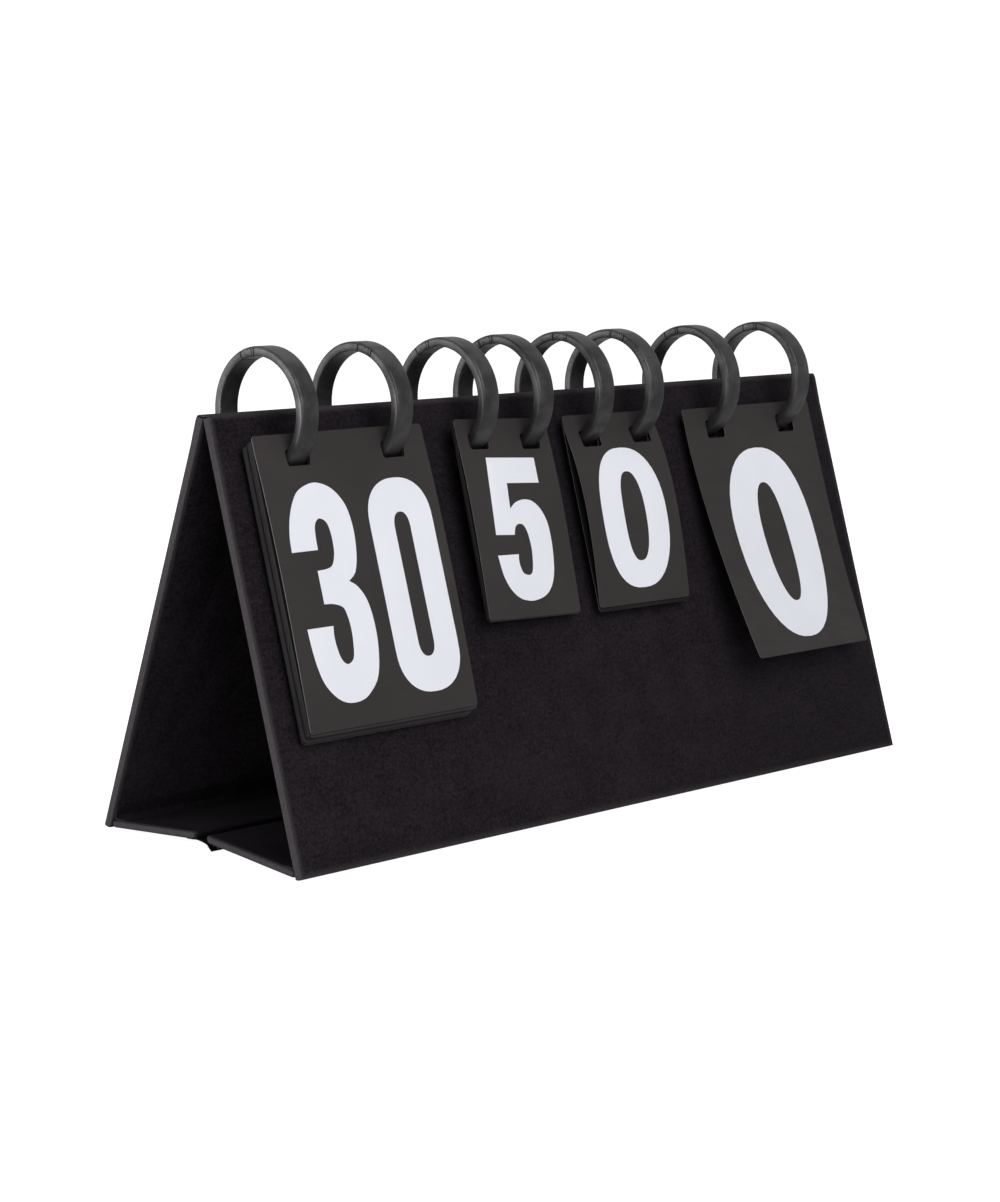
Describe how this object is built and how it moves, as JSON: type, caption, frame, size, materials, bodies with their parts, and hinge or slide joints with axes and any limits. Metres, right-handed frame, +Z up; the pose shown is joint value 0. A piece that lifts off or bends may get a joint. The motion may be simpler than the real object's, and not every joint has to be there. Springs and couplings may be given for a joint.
{
  "type": "tabletop flip scoreboard",
  "caption": "Folding tent of cloth-covered boards with numbered cards hung on hinged binding rings along its ridge.",
  "frame": {"origin": "centre of the footprint, on the surface that it stands on", "axes": "+X along the ridge to the viewer's right, -Y towards the viewer who reads the cards, +Z up"},
  "size_m": [0.385, 0.1241, 0.2006],
  "materials": {
    "cloth": "woven bookcloth",
    "greyboard": "matt",
    "card": "matt",
    "ring": "semi-gloss",
    "fastener": "napped"
  },
  "bodies": {
    "stand_front": {"front_cover": "cloth", "front_board": "greyboard", "ridge_hinge": "cloth", "foot_hinge_front": "cloth"},
    "stand_rear": {"rear_cover": "cloth", "rear_board": "greyboard", "foot_hinge_rear": "cloth"},
    "flap_front": {"base_front_cover": "cloth", "base_front_board": "greyboard", "tab_front": "cloth", "hook_strip": "fastener"},
    "flap_rear": {"base_rear_cover": "cloth", "base_rear_board": "greyboard", "tab_rear": "cloth", "loop_strip": "fastener"},
    "ring_1_front": {"ring_1_front": "ring"},
    "ring_1_rear": {"ring_1_rear": "ring"},
    "ring_2_front": {"ring_2_front": "ring"},
    "ring_2_rear": {"ring_2_rear": "ring"},
    "ring_3_front": {"ring_3_front": "ring"},
    "ring_3_rear": {"ring_3_rear": "ring"},
    "ring_4_front": {"ring_4_front": "ring"},
    "ring_4_rear": {"ring_4_rear": "ring"},
    "ring_5_front": {"ring_5_front": "ring"},
    "ring_5_rear": {"ring_5_rear": "ring"},
    "ring_6_front": {"ring_6_front": "ring"},
    "ring_6_rear": {"ring_6_rear": "ring"},
    "ring_7_front": {"ring_7_front": "ring"},
    "ring_7_rear": {"ring_7_rear": "ring"},
    "ring_8_front": {"ring_8_front": "ring"},
    "ring_8_rear": {"ring_8_rear": "ring"},
    "stack_l": {"bundle_l_a": "card", "bundle_l_b": "card", "bundle_l_c": "card", "bundle_l_d": "card"},
    "card_l30": {"card_l30": "card"},
    "stack_s5": {"bundle_s5_a": "card"},
    "card_s5": {"card_s5": "card"},
    "stack_s5_rear": {"bundle_s5_b": "card"},
    "stack_t0": {"bundle_t0_a": "card"},
    "card_t0": {"card_t0": "card"},
    "stack_t0_rear": {"bundle_t0_b": "card"},
    "card_r0": {"card_r0": "card"},
    "stack_r": {"bundle_r_a": "card", "bundle_r_b": "card", "bundle_r_c": "card", "bundle_r_d": "card"}
  },
  "joints": [
    {"name": "ridge_fold", "type": "hinge", "parent": "stand_front", "child": "stand_rear", "pos_m": [0, 0, 0.17366], "axis": [-1, 0, 0], "range_deg": [0, 19.1], "deforming": ["ridge_hinge", "foot_hinge_front", "foot_hinge_rear", "tab_front", "tab_rear", "hook_strip", "loop_strip"]},
    {"name": "front_flap_fold", "type": "hinge", "parent": "stand_front", "child": "flap_front", "pos_m": [0, -0.0554, 0.0034], "axis": [1, 0, 0], "range_deg": [0, 66.9]},
    {"name": "rear_flap_fold", "type": "hinge", "parent": "stand_rear", "child": "flap_rear", "pos_m": [0, 0.0554, 0.0034], "axis": [-1, 0, 0], "range_deg": [0, 66.9]},
    {"name": "ring_1_turn", "type": "hinge", "parent": "stand_front", "child": "ring_1_front", "pos_m": [-0.1593, 0, 0.1749], "axis": [1, 0, 0], "continuous": true},
    {"name": "ring_1_open", "type": "hinge", "parent": "ring_1_front", "child": "ring_1_rear", "pos_m": [-0.1593, -0.0064, 0.15182], "axis": [1, 0, 0], "range_deg": [-8, 0]},
    {"name": "ring_2_turn", "type": "hinge", "parent": "stand_front", "child": "ring_2_front", "pos_m": [-0.1072, 0, 0.1749], "axis": [1, 0, 0], "continuous": true},
    {"name": "ring_2_open", "type": "hinge", "parent": "ring_2_front", "child": "ring_2_rear", "pos_m": [-0.1072, 0.0062, 0.15177], "axis": [1, 0, 0], "range_deg": [-8, 0]},
    {"name": "ring_3_turn", "type": "hinge", "parent": "stand_front", "child": "ring_3_front", "pos_m": [-0.0567, 0, 0.1749], "axis": [1, 0, 0], "continuous": true},
    {"name": "ring_3_open", "type": "hinge", "parent": "ring_3_front", "child": "ring_3_rear", "pos_m": [-0.0567, -0.01087, 0.15356], "axis": [1, 0, 0], "range_deg": [-8, 0]},
    {"name": "ring_4_turn", "type": "hinge", "parent": "stand_front", "child": "ring_4_front", "pos_m": [-0.0228, 0, 0.1749], "axis": [1, 0, 0], "continuous": true},
    {"name": "ring_4_open", "type": "hinge", "parent": "ring_4_front", "child": "ring_4_rear", "pos_m": [-0.0228, -0.0064, 0.15182], "axis": [1, 0, 0], "range_deg": [-8, 0]},
    {"name": "ring_5_turn", "type": "hinge", "parent": "stand_front", "child": "ring_5_front", "pos_m": [0.0164, 0, 0.1749], "axis": [1, 0, 0], "continuous": true},
    {"name": "ring_5_open", "type": "hinge", "parent": "ring_5_front", "child": "ring_5_rear", "pos_m": [0.0164, 0.00084, 0.15096], "axis": [1, 0, 0], "range_deg": [-8, 0]},
    {"name": "ring_6_turn", "type": "hinge", "parent": "stand_front", "child": "ring_6_front", "pos_m": [0.0498, 0, 0.1749], "axis": [1, 0, 0], "continuous": true},
    {"name": "ring_6_open", "type": "hinge", "parent": "ring_6_front", "child": "ring_6_rear", "pos_m": [0.0498, 0.00498, 0.15147], "axis": [1, 0, 0], "range_deg": [-8, 0]},
    {"name": "ring_7_turn", "type": "hinge", "parent": "stand_front", "child": "ring_7_rear", "pos_m": [0.1035, 0, 0.1749], "axis": [-1, 0, 0], "continuous": true},
    {"name": "ring_7_open", "type": "hinge", "parent": "ring_7_rear", "child": "ring_7_front", "pos_m": [0.1035, -0.00858, 0.15254], "axis": [-1, 0, 0], "range_deg": [-8, 0]},
    {"name": "ring_8_turn", "type": "hinge", "parent": "stand_front", "child": "ring_8_rear", "pos_m": [0.155, 0, 0.1749], "axis": [-1, 0, 0], "continuous": true},
    {"name": "ring_8_open", "type": "hinge", "parent": "ring_8_rear", "child": "ring_8_front", "pos_m": [0.155, -0.00375, 0.15124], "axis": [-1, 0, 0], "range_deg": [-8, 0]},
    {"name": "stack_l_flip", "type": "hinge", "parent": "stand_front", "child": "stack_l", "pos_m": [0, 0, 0.1749], "axis": [1, 0, 0], "range_deg": [-265, 0]},
    {"name": "card_l30_flip", "type": "hinge", "parent": "stack_l", "child": "card_l30", "pos_m": [0, 0, 0.1749], "axis": [-1, 0, 0], "range_deg": [0, 265]},
    {"name": "stack_s5_flip", "type": "hinge", "parent": "stand_front", "child": "stack_s5", "pos_m": [0, 0, 0.1749], "axis": [1, 0, 0], "range_deg": [-256, 0]},
    {"name": "card_s5_flip", "type": "hinge", "parent": "stack_s5", "child": "card_s5", "pos_m": [0, 0, 0.1749], "axis": [-1, 0, 0], "range_deg": [0, 256]},
    {"name": "stack_s5_rear_flip", "type": "hinge", "parent": "stand_rear", "child": "stack_s5_rear", "pos_m": [0, 0, 0.1749], "axis": [-1, 0, 0], "range_deg": [-256, 0]},
    {"name": "stack_t0_flip", "type": "hinge", "parent": "stand_front", "child": "stack_t0", "pos_m": [0, 0, 0.1749], "axis": [1, 0, 0], "range_deg": [-265, 0]},
    {"name": "card_t0_flip", "type": "hinge", "parent": "stack_t0", "child": "card_t0", "pos_m": [0, 0, 0.1749], "axis": [-1, 0, 0], "range_deg": [0, 265]},
    {"name": "stack_t0_rear_flip", "type": "hinge", "parent": "stand_rear", "child": "stack_t0_rear", "pos_m": [0, 0, 0.1749], "axis": [-1, 0, 0], "range_deg": [-265, 0]},
    {"name": "card_r0_flip", "type": "hinge", "parent": "stand_front", "child": "card_r0", "pos_m": [0, 0, 0.1749], "axis": [-1, 0, 0], "range_deg": [0, 247]},
    {"name": "stack_r_flip", "type": "hinge", "parent": "stand_rear", "child": "stack_r", "pos_m": [0, 0, 0.1749], "axis": [-1, 0, 0], "range_deg": [-247, 0]}
  ],
  "couplings": [
    {"joint": "front_flap_fold", "follows": "ridge_fold", "ratio": 3.5},
    {"joint": "rear_flap_fold", "follows": "ridge_fold", "ratio": 3.5}
  ]
}
